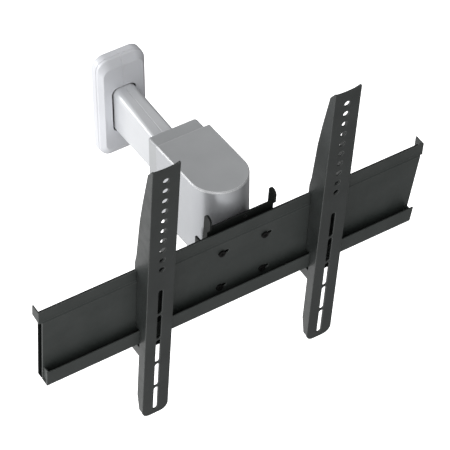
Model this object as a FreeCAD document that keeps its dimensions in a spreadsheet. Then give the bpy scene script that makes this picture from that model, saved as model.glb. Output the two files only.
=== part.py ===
import FreeCAD, Part
import os
import Sketcher
from FreeCAD import Placement, Rotation, Vector

# Full motion wall mount for a television.
# Frame: X runs along the wall, the wall is the plane Y = 0 and the mount stands out towards -Y,
# Z is up.  The origin is the centre of the wall plate's mounting face.  Millimetres and degrees.

DRIVING = {
    # wall plate, hinge lugs and the two-part cover
    "plate_width": 72, "plate_height": 160, "plate_thickness": 3, "plate_corner": 12,
    "wall_hole_radius": 4.2, "wall_hole_across": 50, "wall_hole_up": 120,
    "cover_half_width": 39.7, "cover_half_height": 87.9, "cover_base_depth": 11,
    "cover_step": 0.8, "cover_side_depth": 15.5, "cover_depth": 22.5,
    "cover_face_half_width": 32.8, "cover_face_half_height": 74.5, "cover_corner": 19,
    "cover_face_corner": 12, "cover_wall": 2.5, "seam_gap": 0.2,
    "window_half_width": 20.2, "window_top": 36.6, "window_bottom": -43.3, "window_corner": 10.5,
    "clip_length": 14, "clip_spacing": 100, "clip_depth": 10, "clip_lift": 0.1,
    # wall hinge
    "hinge_reach": 12.5, "pin_radius": 4.95, "pin_bore": 5, "pin_lug_bore": 5.1,
    "pin_head_radius": 7, "pin_head_height": 5, "pin_end": 2,
    "knuckle_radius": 9, "knuckle_top": 29, "knuckle_bottom": -35,
    "bush_radius": 7, "bush_length": 12, "bush_flange": 1, "bush_flange_radius": 8.8,
    "lug_thickness": 4, "lug_gap": 0.5, "lug_radius": 9.3, "lug_root": 20,
    "pin_washer": 1, "pin_washer_radius": 8.5, "pin_nut_height": 8, "pin_nut_radius": 8,
    # arm
    "beam_half_width": 13, "beam_top": 14, "beam_bottom": -26, "beam_wall": 3, "beam_start": 19,
    "shell_start": 22, "shell_end": 156, "shell_wall": 2.5,
    "shell_wall_half_width": 18, "shell_wall_top": 35.8, "shell_wall_bottom": -42.5,
    "shell_wall_corner": 10, "shell_end_half_width": 18.4, "shell_end_top": 21.5,
    "shell_end_bottom": -40.8, "shell_end_corner": 4, "shell_inner_corner": 2,
    "spacer_width": 2.4, "spacer_height": 12, "spacer_first": 50, "spacer_pitch": 85,
    # head housing and collar
    "collar_half_width": 39.5, "collar_rear": 149.5, "collar_top": 52.6, "collar_bottom": -59.5,
    "collar_corner": 8, "collar_round": 3, "collar_gap": 0.5, "joint_gap": 0.2,
    "housing_half_width": 43.6, "housing_rear": 181.5, "swivel_reach": 271,
    "housing_top": 60.6, "housing_bottom": -65.5, "cap_thickness": 3, "base_thickness": 2,
    "housing_wall": 2.5, "cap_chamfer": 1.4, "housing_gate_half_width": 24,
    "housing_gate_top": 22, "housing_gate_corner": 6, "housing_gate_bottom": -36,
    "boss_radius": 4, "boss_hole": 1.6, "boss_across": 34.5, "boss_front": 257, "boss_rear": 194,
    "boss_height": 22, "base_screw_radius": 1.5, "base_screw_head": 3, "base_screw_rise": 1.6,
    "base_screw_length": 12,
    # head swivel
    "tube_radius": 17, "tube_bore": 12, "tube_top": 42, "shaft_radius": 10, "shaft_bore": 10.05,
    "swivel_bush_length": 20, "swivel_flange": 1, "swivel_flange_radius": 16,
    "shaft_flange_radius": 30, "shaft_flange": 3.2, "shaft_gap": 0.3, "shaft_top": 53,
    "disc_thickness": 1.2, "disc_radius": 16, "disc_gap": 0.3, "disc_bore": 10.3,
    "swivel_nut_height": 7.5, "swivel_nut_radius": 15,
    "yoke_bolt_circle": 22, "yoke_bolt_radius": 2.95, "yoke_bolt_hole": 3.1,
    "yoke_bolt_head": 5, "yoke_bolt_head_height": 3,
    # yoke and tilt joint
    "yoke_half_width": 49.5, "yoke_rear_half_width": 28, "yoke_sheet": 3, "yoke_plate": 4, "yoke_rear": 241,
    "yoke_plate_front": 303, "yoke_front": 313.5, "yoke_ear_rear": 290.5, "yoke_ear_top": -20.5,
    "tilt_reach": 303.1, "tilt_height": -56.1, "tilt": 5.5,
    "tilt_bolt_radius": 3.95, "tilt_bore": 4, "tilt_bolt_head": 7, "tilt_bolt_head_height": 4.5,
    "tilt_washer_radius": 9, "tilt_washer": 0.8, "tilt_gap": 0.1, "tilt_nut_radius": 7.5,
    "tilt_nut_height": 6, "tilt_bolt_end": 2,
    "lock_rise": 16, "lock_bolt_radius": 2.95, "lock_bore": 3.1, "lock_bolt_head": 5.5,
    "lock_slot_half_width": 3.6, "lock_slot_half_travel": 2.4, "lock_slot_rise": 15.75,
    "lock_slot_shift": 2.1, "lock_nut_radius": 6,
    # tilt bracket, in its own upright frame with the tilt axis as origin
    "bracket_half_width": 53.5, "bracket_sheet": 3, "bracket_bottom": -42, "bracket_top": 83,
    "finger_top": 106, "finger_radius": 7.5, "finger_y": -16,
    "finger_foot": 77, "finger_rise": 8, "ear_waist": 44, "ear_back": 12, "ear_foot": -3,
    "ear_shoulder": 24,
    "ear_low": -20, "sight_hole_radius": 2.8, "sight_hole_x": 8, "sight_hole_z": 77,
    # rail
    "face_depth": 29, "rail_shift": -9, "rail_slot": 9, "rail_sheet": 2, "rail_top": 75,
    "rail_joggle": 54.5, "joggle_rise": 2.5,
    "rail_bottom": -63.5, "rail_half_width": 310.5, "rail_face_half_width": 306,
    "rail_low_left": 306,
    "rail_low_right": 294, "lip_reach": 12, "lip_top": -37, "tab_depth": 19,
    "lip_end_inset": 2, "back_depth": 11, "back_top": 68, "back_bottom": -60.5,
    "back_half_width": 307, "back_low_left": 307, "back_low_right": 295.5, "end_cut": 24,
    "bolt_across": 70, "bolt_up": 70, "rail_bolt_radius": 2.95, "rail_bolt_hole": 3.2,
    "rail_bolt_head": 5.2, "rail_bolt_head_height": 2.8, "rail_nut_radius": 5.8,
    "rail_nut_height": 5, "spacer_radius": 6, "spacer_clear": 0.05, "drive_radius": 2.4,
    "drive_depth": 1.6,
    # television uprights
    "upright_left_x": -149.2, "upright_right_x": 129.9, "upright_half_width": 21,
    "upright_sheet": 2.5, "upright_reach": 27, "upright_top": 289, "upright_bottom": -215,
    "upright_corner": 13, "upright_dip": 2, "upright_gap": 0.4,
    "hole_radius": 4.6, "hole_top": 264.8, "hole_pitch": 19, "hole_count": 10,
    "slot_half_width": 3.6, "slot_top": 51.9, "slot_length": 49.1, "slot_pitch": 52,
    "slot_count": 5, "hook_reach": 2.5, "hook_low": 64, 
    "tail_reach": 7, "tail_top": -72, "tail_bottom": -90,
    "lock_plate": 3, "lock_screw_radius": 2.95, "lock_screw_bore": 3, "lock_screw_head": 5,
    "lock_screw_head_height": 4, "lock_screw_drop": 92,
}


class Size:
    """A value together with the sheet expression that gives it."""

    def __init__(self, value, text):
        self.value = float(value)
        self.text = text

    def joined(self, sign, other, value):
        return Size(value, "(%s %s %s)" % (self.text, sign, other.text))

    def __add__(self, other):
        other = sized(other)
        return self.joined("+", other, self.value + other.value)

    def __sub__(self, other):
        other = sized(other)
        return self.joined("-", other, self.value - other.value)

    def __mul__(self, other):
        other = sized(other)
        return self.joined("*", other, self.value * other.value)

    def __truediv__(self, other):
        other = sized(other)
        return self.joined("/", other, self.value / other.value)

    def __neg__(self):
        return Size(-self.value, "(0 - %s)" % self.text)


def sized(value):
    """A plain number as a Size; a Size stays as it is."""
    if isinstance(value, Size):
        return value
    return Size(value, "(0 - %r)" % abs(value) if value < 0 else repr(value))


class Sheet:
    """The driving dimensions: every alias of the spreadsheet is an attribute of this object."""

    def __init__(self, doc, values):
        table = doc.addObject("Spreadsheet::Sheet", "sizes")
        for row, (name, value) in enumerate(values.items(), start=1):
            table.set("A%d" % row, name)
            table.set("B%d" % row, str(value))
            table.setAlias("B%d" % row, name)
            setattr(self, name, Size(value, "sizes." + name))
        doc.recompute()


doc = FreeCAD.newDocument("tv_wall_mount")
s = Sheet(doc, DRIVING)
nodes = []


# ---------------------------------------------------------------- helpers for sketches and features

def bind(thing, path, size):
    """Drive one property of an object from the sheet."""
    thing.setExpression(path, sized(size).text)


def node(thing, label):
    """Name an object as a sub-part of the mount."""
    thing.Label = label
    nodes.append(thing)
    return thing


def new_body(name):
    return doc.addObject("PartDesign::Body", name + "_body")


def sketch_on(body, role, name, offset=0):
    """A sketch on one origin plane of its body, moved along the plane's normal by offset."""
    plane = [item for item in body.Origin.OriginFeatures if item.Role == role][0]
    sketch = body.newObject("Sketcher::SketchObject", name)
    sketch.AttachmentSupport = [(plane, "")]
    sketch.MapMode = "FlatFace"
    sketch.AttachmentOffset = Placement(Vector(0, 0, sized(offset).value), Rotation())
    bind(sketch, "AttachmentOffset.Base.z", offset)
    return sketch


def hold(sketch, kind, size, *where):
    """One dimension of a sketch, driven from the sheet."""
    size = sized(size)
    index = sketch.addConstraint(Sketcher.Constraint(kind, *where, size.value))
    bind(sketch, "Constraints[%d]" % index, size)


def hold_point(sketch, edge, end, x, y):
    hold(sketch, "DistanceX", x, -1, 1, edge, end)
    hold(sketch, "DistanceY", y, -1, 1, edge, end)


def polygon(sketch, corners):
    """A closed outline of straight edges with every corner at its own place."""
    corners = [(sized(x), sized(y)) for x, y in corners]
    places = [Vector(x.value, y.value, 0) for x, y in corners]
    count = len(places)
    first = sketch.GeometryCount
    for index in range(count):
        sketch.addGeometry(Part.LineSegment(places[index], places[(index + 1) % count]), False)
    for index in range(count):
        after = first + (index + 1) % count
        sketch.addConstraint(Sketcher.Constraint("Coincident", first + index, 2, after, 1))
    for index, (x, y) in enumerate(corners):
        hold_point(sketch, first + index, 1, x, y)


def circle(sketch, x, y, radius):
    x, y, radius = sized(x), sized(y), sized(radius)
    ring = Part.Circle(Vector(x.value, y.value, 0), Vector(0, 0, 1), radius.value)
    edge = sketch.addGeometry(ring, False)
    hold_point(sketch, edge, 3, x, y)
    hold(sketch, "Radius", radius, edge)


def corner_arc(x, y, radius, start):
    """A quarter circle that starts at the given angle in quarter turns."""
    quarter = 1.5707963267948966
    ring = Part.Circle(Vector(x, y, 0), Vector(0, 0, 1), radius)
    return Part.ArcOfCircle(ring, start * quarter, (start + 1) * quarter)


def rounded_rectangle(sketch, left, bottom, right, top, radius):
    """A rectangle with four equal round corners."""
    left, bottom, right, top = sized(left), sized(bottom), sized(right), sized(top)
    radius = sized(radius)
    x0, y0, x1, y1, r = left.value, bottom.value, right.value, top.value, radius.value
    parts = [
        Part.LineSegment(Vector(x0 + r, y0, 0), Vector(x1 - r, y0, 0)),
        corner_arc(x1 - r, y0 + r, r, 3),
        Part.LineSegment(Vector(x1, y0 + r, 0), Vector(x1, y1 - r, 0)),
        corner_arc(x1 - r, y1 - r, r, 0),
        Part.LineSegment(Vector(x1 - r, y1, 0), Vector(x0 + r, y1, 0)),
        corner_arc(x0 + r, y1 - r, r, 1),
        Part.LineSegment(Vector(x0, y1 - r, 0), Vector(x0, y0 + r, 0)),
        corner_arc(x0 + r, y0 + r, r, 2),
    ]
    first = sketch.GeometryCount
    sketch.addGeometry(parts, False)
    for index in range(8):
        after = first + (index + 1) % 8
        sketch.addConstraint(Sketcher.Constraint("Tangent", first + index, 2, after, 1))
    for index in (0, 4):
        sketch.addConstraint(Sketcher.Constraint("Horizontal", first + index))
    for index in (2, 6):
        sketch.addConstraint(Sketcher.Constraint("Vertical", first + index))
    for index in (3, 5, 7):
        sketch.addConstraint(Sketcher.Constraint("Equal", first + 1, first + index))
    hold(sketch, "Radius", radius, first + 1)
    hold(sketch, "DistanceY", bottom, -1, 1, first, 1)
    hold(sketch, "DistanceX", right, -1, 1, first + 2, 1)
    hold(sketch, "DistanceY", top, -1, 1, first + 4, 1)
    hold(sketch, "DistanceX", left, -1, 1, first + 6, 1)


def obround(sketch, x, y, half_width, half_travel, upright):
    """A slot with round ends, centred at x, y; half_travel runs from its centre to an end's centre."""
    x, y, half_width, half_travel = sized(x), sized(y), sized(half_width), sized(half_travel)
    if upright:
        rounded_rectangle(sketch, x - half_width, y - half_travel - half_width,
                          x + half_width, y + half_travel + half_width, half_width * 0.999)
    else:
        rounded_rectangle(sketch, x - half_travel - half_width, y - half_width,
                          x + half_travel + half_width, y + half_width, half_width * 0.999)


def tongue(sketch, half_width, rear, axis):
    """An outline with a square rear and a half-round front about the point (0, -axis)."""
    half_width, rear, axis = sized(half_width), sized(rear), sized(axis)
    w, y0, y1 = half_width.value, -rear.value, -axis.value
    turn = 3.141592653589793
    front = Part.ArcOfCircle(Part.Circle(Vector(0, y1, 0), Vector(0, 0, 1), w), turn, 2 * turn)
    parts = [
        Part.LineSegment(Vector(w, y0, 0), Vector(-w, y0, 0)),
        Part.LineSegment(Vector(-w, y0, 0), Vector(-w, y1, 0)),
        front,
        Part.LineSegment(Vector(w, y1, 0), Vector(w, y0, 0)),
    ]
    first = sketch.GeometryCount
    sketch.addGeometry(parts, False)
    sketch.addConstraint([
        Sketcher.Constraint("Coincident", first, 2, first + 1, 1),
        Sketcher.Constraint("Tangent", first + 1, 2, first + 2, 1),
        Sketcher.Constraint("Tangent", first + 2, 2, first + 3, 1),
        Sketcher.Constraint("Coincident", first + 3, 2, first, 1),
        Sketcher.Constraint("Horizontal", first),
        Sketcher.Constraint("Vertical", first + 1),
    ])
    hold(sketch, "DistanceY", -rear, -1, 1, first, 1)
    hold_point(sketch, first + 2, 3, 0, -axis)
    hold(sketch, "Radius", half_width, first + 2)


def pad(body, sketch, length, backwards=False):
    feature = body.newObject("PartDesign::Pad", sketch.Name + "_pad")
    feature.Profile = sketch
    feature.Length = sized(length).value
    bind(feature, "Length", length)
    feature.Reversed = backwards
    sketch.Visibility = False
    return feature


def pocket(body, sketch, length, backwards=False):
    feature = body.newObject("PartDesign::Pocket", sketch.Name + "_pocket")
    feature.Profile = sketch
    feature.Length = sized(length).value
    bind(feature, "Length", length)
    feature.Reversed = backwards
    return feature


def loft(body, kind, sections):
    feature = body.newObject("PartDesign::" + kind, sections[0].Name + "_loft")
    feature.Profile = sections[0]
    feature.Sections = [(section, [""]) for section in sections[1:]]
    feature.Ruled = True
    return feature


def row_of(body, feature, sketch, steps):
    """Repeat a feature along one or two sketch axes: steps is [(axis, length, count), ...]."""
    pattern = body.newObject("PartDesign::LinearPattern", feature.Name + "_row")
    pattern.Originals = [feature]
    for suffix, (axis, length, count) in zip(("", "2"), steps):
        setattr(pattern, "Direction" + suffix, (sketch, [axis]))
        setattr(pattern, "Mode" + suffix, "Extent")
        bind(pattern, "Length" + suffix, length)
        bind(pattern, "Occurrences" + suffix, count)
    body.Tip = pattern
    return pattern


def anywhere(point):
    return True


def edges_where(shape, test, middle_test=anywhere):
    """Names of the edges whose two ends pass one test and whose middle passes another."""
    found = []
    for index, edge in enumerate(shape.Edges, start=1):
        if all(test(vertex.Point) for vertex in edge.Vertexes) and middle_test(edge.CenterOfMass):
            found.append("Edge%d" % index)
    return found


def round_edges(body, feature, radius, test, middle_test=anywhere):
    doc.recompute()
    fillet = body.newObject("PartDesign::Fillet", feature.Name + "_fillet")
    fillet.Base = (feature, edges_where(feature.Shape, test, middle_test))
    fillet.Radius = sized(radius).value
    bind(fillet, "Radius", radius)
    return fillet


# ------------------------------------------------------------- helpers for turned and standard parts

TURN = {"Z": Rotation(), "X": Rotation(Vector(0, 1, 0), 90), "Y": Rotation(Vector(1, 0, 0), 90)}


def put(thing, at, axis="Z"):
    """Place a primitive: its own Z axis runs along +Z, +X or -Y."""
    thing.Placement = Placement(Vector(*(sized(value).value for value in at)), TURN[axis])
    for letter, value in zip("xyz", at):
        bind(thing, "Placement.Base." + letter, value)
    return thing


def cylinder(radius, height, at, axis="Z"):
    thing = doc.addObject("Part::Cylinder", "cylinder")
    bind(thing, "Radius", radius)
    bind(thing, "Height", height)
    return put(thing, at, axis)


def hexagon(radius, height, at, axis="Z"):
    thing = doc.addObject("Part::Prism", "hexagon")
    thing.Polygon = 6
    bind(thing, "Circumradius", radius)
    bind(thing, "Height", height)
    return put(thing, at, axis)


def block(width, depth, height, at):
    thing = doc.addObject("Part::Box", "block")
    bind(thing, "Length", width)
    bind(thing, "Width", depth)
    bind(thing, "Height", height)
    return put(thing, at)


def fused(*items):
    thing = doc.addObject("Part::MultiFuse", "fused")
    thing.Shapes = list(items)
    return thing


def cut(base, tool):
    thing = doc.addObject("Part::Cut", "cut")
    thing.Base = base
    thing.Tool = tool
    return thing


def group(items):
    thing = doc.addObject("Part::Compound", "group")
    thing.Links = list(items)
    return thing


def washer(radius, bore, height, at, axis="Z"):
    return cut(cylinder(radius, height, at, axis), cylinder(bore, height, at, axis))


def nut(radius, bore, height, at, axis="Z"):
    return cut(hexagon(radius, height, at, axis), cylinder(bore, height, at, axis))


def flanged_bush(radius, bore, length, flange_radius, flange, at, upwards):
    """A bush about a vertical axis; at is the centre of the face that its flange lies on."""
    x, y, z = at
    body_low = z - length if upwards else z
    flange_low = z if upwards else z - flange
    whole_low = body_low if upwards else flange_low
    solid = fused(cylinder(radius, length, (x, y, body_low)),
                  cylinder(flange_radius, flange, (x, y, flange_low)))
    return cut(solid, cylinder(bore, length + flange, (x, y, whole_low)))


# ------------------------------------------------------------------------------- wall plate and cover

hinge_y = -s.hinge_reach
lug_top_face = s.knuckle_top + s.bush_flange + s.lug_gap
lug_bottom_face = s.knuckle_bottom - s.bush_flange - s.lug_gap


def wall_plate():
    body = new_body("wall_plate")
    outline = sketch_on(body, "XZ_Plane", "plate_outline")
    rounded_rectangle(outline, -s.plate_width / 2, -s.plate_height / 2,
                      s.plate_width / 2, s.plate_height / 2, s.plate_corner)
    pad(body, outline, s.plate_thickness)
    hole = sketch_on(body, "XZ_Plane", "plate_hole")
    circle(hole, -s.wall_hole_across / 2, -s.wall_hole_up / 2, s.wall_hole_radius)
    first = pocket(body, hole, s.plate_thickness, True)
    row_of(body, first, hole, [("H_Axis", s.wall_hole_across, 2), ("V_Axis", s.wall_hole_up, 2)])
    node(body, "wall_plate")


def hinge_lug(name, low):
    """One flat lug that holds the hinge pin, welded to the wall plate."""
    body = new_body(name)
    root = sketch_on(body, "XY_Plane", name + "_root", low)
    polygon(root, [(-s.lug_root, -s.plate_thickness), (-s.lug_radius, hinge_y),
                   (s.lug_radius, hinge_y), (s.lug_root, -s.plate_thickness)])
    pad(body, root, s.lug_thickness)
    nose = sketch_on(body, "XY_Plane", name + "_nose", low)
    circle(nose, 0, hinge_y, s.lug_radius)
    pad(body, nose, s.lug_thickness)
    bore = sketch_on(body, "XY_Plane", name + "_bore", low)
    circle(bore, 0, hinge_y, s.pin_lug_bore)
    pocket(body, bore, s.lug_thickness, True)
    return body


def wall_hinge():
    upper = hinge_lug("upper_lug", lug_top_face)
    lower = hinge_lug("lower_lug", lug_bottom_face - s.lug_thickness)
    node(group([upper, lower]), "hinge_lugs")
    head_low = lug_top_face + s.lug_thickness + s.pin_washer
    washer_low = lug_bottom_face - s.lug_thickness - s.pin_washer
    nut_low = washer_low - s.pin_nut_height
    shank_low = nut_low - s.pin_end
    shank = cylinder(s.pin_radius, head_low - shank_low, (0, hinge_y, shank_low))
    head = cylinder(s.pin_head_radius, s.pin_head_height, (0, hinge_y, head_low))
    node(fused(shank, head), "hinge_pin")
    node(nut(s.pin_nut_radius, s.pin_bore, s.pin_nut_height, (0, hinge_y, nut_low)), "hinge_nut")
    washers = [washer(s.pin_washer_radius, s.pin_lug_bore, s.pin_washer, (0, hinge_y, low))
               for low in (lug_top_face + s.lug_thickness, washer_low)]
    node(group(washers), "hinge_washers")


def wall_cover(name, side):
    """Half of the cover: side is 1 for the half on +X and -1 for the half on -X."""
    body = new_body(name)
    inner = s.cover_half_width - s.cover_step
    inner_high = s.cover_half_height - s.cover_step

    def ring(label, offset, half_width, half_height, corner):
        sketch = sketch_on(body, "XZ_Plane", name + label, offset)
        rounded_rectangle(sketch, -half_width, -half_height, half_width, half_height, corner)
        return sketch

    base = ring("_base", 0, s.cover_half_width, s.cover_half_height, s.cover_corner)
    pad(body, base, s.cover_base_depth)
    side_ring = ring("_side", 0, inner, inner_high, s.cover_corner - s.cover_step)
    pad(body, side_ring, s.cover_side_depth)
    bevel_back = ring("_bevel_back", s.cover_side_depth, inner, inner_high,
                      s.cover_corner - s.cover_step)
    bevel_front = ring("_bevel_front", s.cover_depth, s.cover_face_half_width,
                       s.cover_face_half_height, s.cover_face_corner)
    loft(body, "AdditiveLoft", [bevel_back, bevel_front])
    wall = s.cover_wall
    hollow_corner = s.cover_corner - s.cover_step - wall
    hollow = ring("_hollow", 0, inner - wall, inner_high - wall, hollow_corner)
    pocket(body, hollow, s.cover_side_depth - wall / 2, True)
    slope_back = ring("_slope_back", s.cover_side_depth - wall / 2, inner - wall,
                      inner_high - wall, hollow_corner)
    slope_front = ring("_slope_front", s.cover_depth - wall, s.cover_face_half_width - wall / 2,
                       s.cover_face_half_height - wall / 2, s.cover_face_corner - wall / 2)
    loft(body, "SubtractiveLoft", [slope_back, slope_front])
    window = sketch_on(body, "XZ_Plane", name + "_window", s.cover_side_depth)
    rounded_rectangle(window, -s.window_half_width, s.window_bottom,
                      s.window_half_width, s.window_top, s.window_corner)
    pocket(body, window, s.cover_depth - s.cover_side_depth, True)
    other_half = sketch_on(body, "XZ_Plane", name + "_other_half")
    seam = s.seam_gap / 2 * side
    polygon(other_half, [(seam, -s.cover_half_height * 1.1), (seam, s.cover_half_height * 1.1),
                         (-s.cover_half_width * 1.1 * side, s.cover_half_height * 1.1),
                         (-s.cover_half_width * 1.1 * side, -s.cover_half_height * 1.1)])
    pocket(body, other_half, s.cover_depth * 1.1, True)
    node(body, name)


def cover_clips():
    """Four spring clips on the plate's long edges, which hold the cover halves."""
    edge = s.plate_width / 2
    reach = s.cover_half_width - s.cover_step - s.cover_wall - s.clip_lift - edge
    clips = []
    for left in (edge, -edge - reach):
        for up in (s.clip_spacing / 2, -s.clip_spacing / 2):
            clips.append(block(reach, s.clip_depth, s.clip_length,
                               (left, -s.clip_depth, up - s.clip_length / 2)))
    node(group(clips), "cover_clips")


# --------------------------------------------------------------------------------------------- arm

swivel_y = -s.swivel_reach
tube_bottom = s.housing_bottom + s.base_thickness


def arm_beam():
    """The load-bearing weldment: hinge knuckle, box tube and the tube of the head swivel."""
    body = new_body("arm_beam")
    low, high = s.beam_bottom, s.beam_top
    box = sketch_on(body, "XZ_Plane", "beam_box", s.beam_start)
    polygon(box, [(-s.beam_half_width, low), (s.beam_half_width, low),
                  (s.beam_half_width, high), (-s.beam_half_width, high)])
    reach = s.swivel_reach - s.tube_radius / 2
    pad(body, box, reach - s.beam_start)
    knuckle = sketch_on(body, "XY_Plane", "beam_knuckle", s.knuckle_bottom)
    circle(knuckle, 0, hinge_y, s.knuckle_radius)
    pad(body, knuckle, s.knuckle_top - s.knuckle_bottom)
    tube = sketch_on(body, "XY_Plane", "beam_tube", tube_bottom)
    circle(tube, 0, swivel_y, s.tube_radius)
    pad(body, tube, s.tube_top - tube_bottom)
    inside = s.beam_half_width - s.beam_wall
    hollow = sketch_on(body, "XZ_Plane", "beam_hollow", s.beam_start + s.beam_wall)
    polygon(hollow, [(-inside, low + s.beam_wall), (inside, low + s.beam_wall),
                     (inside, high - s.beam_wall), (-inside, high - s.beam_wall)])
    hollow_end = s.swivel_reach - s.tube_radius
    pocket(body, hollow, hollow_end - s.beam_start - s.beam_wall, True)
    bore = sketch_on(body, "XY_Plane", "beam_tube_bore", tube_bottom)
    circle(bore, 0, swivel_y, s.tube_bore)
    pocket(body, bore, s.tube_top - tube_bottom, True)
    pin_bore = sketch_on(body, "XY_Plane", "beam_pin_bore", s.knuckle_bottom)
    circle(pin_bore, 0, hinge_y, s.bush_radius)
    pocket(body, pin_bore, s.knuckle_top - s.knuckle_bottom, True)
    node(body, "arm_beam")


def arm_bushes():
    upper = flanged_bush(s.bush_radius, s.pin_bore, s.bush_length, s.bush_flange_radius,
                         s.bush_flange, (0, hinge_y, s.knuckle_top), True)
    lower = flanged_bush(s.bush_radius, s.pin_bore, s.bush_length, s.bush_flange_radius,
                         s.bush_flange, (0, hinge_y, s.knuckle_bottom), False)
    node(group([upper, lower]), "arm_bushes")


def arm_shell(name, side):
    """Half of the tapering arm cover: side is 1 for the half on +X and -1 for the one on -X."""
    body = new_body(name)

    def section(label, offset, half_width, low, high, corner, inset):
        sketch = sketch_on(body, "XZ_Plane", name + label, offset)
        rounded_rectangle(sketch, inset - half_width, low + inset, half_width - inset,
                          high - inset, corner)
        return sketch

    wall_end = (s.shell_wall_half_width, s.shell_wall_bottom, s.shell_wall_top)
    head_end = (s.shell_end_half_width, s.shell_end_bottom, s.shell_end_top)
    outer = [section("_wall_end", s.shell_start, *wall_end, s.shell_wall_corner, sized(0)),
             section("_head_end", s.shell_end, *head_end, s.shell_end_corner, sized(0))]
    loft(body, "AdditiveLoft", outer)
    thick = s.shell_wall
    inner = [section("_wall_hollow", s.shell_start, *wall_end, s.shell_wall_corner - thick, thick),
             section("_head_hollow", s.shell_end, *head_end, s.shell_inner_corner, thick)]
    loft(body, "SubtractiveLoft", inner)
    seam = s.seam_gap / 2 * side
    far = -s.shell_wall_half_width * 1.2 * side
    half = sketch_on(body, "XZ_Plane", name + "_half", s.shell_start)
    polygon(half, [(seam, s.shell_wall_bottom * 1.2), (seam, s.shell_wall_top * 1.2),
                   (far, s.shell_wall_top * 1.2), (far, s.shell_wall_bottom * 1.2)])
    pocket(body, half, s.shell_end - s.shell_start, True)
    node(body, name)


def arm_spacers():
    """Four blocks that centre the arm shells on the beam."""
    blocks = []
    for left in (s.beam_half_width, -s.beam_half_width - s.spacer_width):
        for reach in (s.spacer_first, s.spacer_first + s.spacer_pitch):
            blocks.append(block(s.spacer_width, s.spacer_height, s.spacer_height,
                                (left, -reach - s.spacer_height, -s.spacer_height)))
    node(group(blocks), "arm_spacers")


def arm_collar():
    """The sleeve between the arm shells and the head housing."""
    body = new_body("arm_collar")
    front = -s.housing_rear + s.joint_gap
    rear = -s.collar_rear
    side = s.collar_half_width
    outline = sketch_on(body, "XY_Plane", "collar_outline", s.collar_bottom)
    polygon(outline, [(-side, front), (side, front), (side, rear), (-side, rear)])
    block_pad = pad(body, outline, s.collar_top - s.collar_bottom)
    rear_y = rear.value
    upright_corners = round_edges(body, block_pad, s.collar_corner,
                                  lambda point: abs(point.y - rear_y) < 0.01
                                  and abs(abs(point.x) - side.value) < 0.01)
    top = s.collar_top.value
    round_edges(body, upright_corners, s.collar_round, lambda point: abs(point.z - top) < 0.01,
                lambda middle: middle.y > front.value + 0.01)
    wall = s.housing_wall
    hollow = sketch_on(body, "XY_Plane", "collar_hollow", s.collar_bottom + wall)
    rounded_rectangle(hollow, wall - side, front - s.collar_rear / 10, side - wall, rear - wall,
                      s.collar_corner - wall)
    pocket(body, hollow, s.collar_top - s.collar_bottom - wall * 2, True)
    window = sketch_on(body, "XZ_Plane", "collar_window", s.collar_rear)
    gap = s.collar_gap
    rounded_rectangle(window, -s.shell_end_half_width - gap, s.shell_end_bottom - gap,
                      s.shell_end_half_width + gap, s.shell_end_top + gap * 2, s.shell_end_corner)
    pocket(body, window, wall * 2, True)
    node(body, "arm_collar")


def boss_places():
    places = []
    for across in (-s.boss_across, s.boss_across):
        for along in (-s.boss_rear, -s.boss_front):
            places.append((across, along))
    return places


def housing_shell():
    """The tongue-shaped side wall of the head housing, with four screw bosses inside."""
    body = new_body("housing_shell")
    height = s.housing_top - s.cap_thickness - tube_bottom
    outline = sketch_on(body, "XY_Plane", "housing_outline", tube_bottom)
    tongue(outline, s.housing_half_width, s.housing_rear, s.swivel_reach)
    pad(body, outline, height)
    wall = s.housing_wall
    hollow = sketch_on(body, "XY_Plane", "housing_hollow", tube_bottom)
    tongue(hollow, s.housing_half_width - wall, s.housing_rear + wall, s.swivel_reach)
    pocket(body, hollow, height, True)
    bosses = sketch_on(body, "XY_Plane", "housing_bosses", tube_bottom)
    side = s.housing_half_width - wall / 2
    root = s.boss_radius * 0.5
    for across, along in boss_places():
        outer = side if across.value > 0 else -side
        polygon(bosses, [(across, along - root), (outer, along - root),
                         (outer, along + root), (across, along + root)])
    pad(body, bosses, s.boss_height)
    posts = sketch_on(body, "XY_Plane", "housing_posts", tube_bottom)
    for across, along in boss_places():
        circle(posts, across, along, s.boss_radius)
    pad(body, posts, s.boss_height)
    holes = sketch_on(body, "XY_Plane", "housing_boss_holes", tube_bottom)
    for across, along in boss_places():
        circle(holes, across, along, s.boss_hole)
    pocket(body, holes, s.boss_height - wall, True)
    gate = sketch_on(body, "XZ_Plane", "housing_gate", s.housing_rear)
    rounded_rectangle(gate, -s.housing_gate_half_width, s.housing_gate_bottom,
                      s.housing_gate_half_width, s.housing_gate_top, s.housing_gate_corner)
    pocket(body, gate, wall * 2, True)
    node(body, "housing_shell")


def housing_top_cap():
    body = new_body("housing_top_cap")
    outline = sketch_on(body, "XY_Plane", "cap_outline", s.housing_top - s.cap_thickness)
    tongue(outline, s.housing_half_width, s.housing_rear, s.swivel_reach)
    plate = pad(body, outline, s.cap_thickness)
    doc.recompute()
    top = s.housing_top.value
    chamfer = body.newObject("PartDesign::Chamfer", "cap_edge")
    chamfer.Base = (plate, edges_where(plate.Shape, lambda point: abs(point.z - top) < 0.01))
    bind(chamfer, "Size", s.cap_chamfer)
    node(body, "housing_top_cap")


def housing_base_cover():
    body = new_body("housing_base_cover")
    outline = sketch_on(body, "XY_Plane", "base_outline", s.housing_bottom)
    tongue(outline, s.housing_half_width, s.housing_rear, s.swivel_reach)
    pad(body, outline, s.base_thickness)
    holes = sketch_on(body, "XY_Plane", "base_holes", s.housing_bottom)
    circle(holes, 0, swivel_y, s.tube_bore + s.joint_gap)
    for across, along in boss_places():
        circle(holes, across, along, s.boss_hole)
    pocket(body, holes, s.base_thickness, True)
    node(body, "housing_base_cover")


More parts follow.
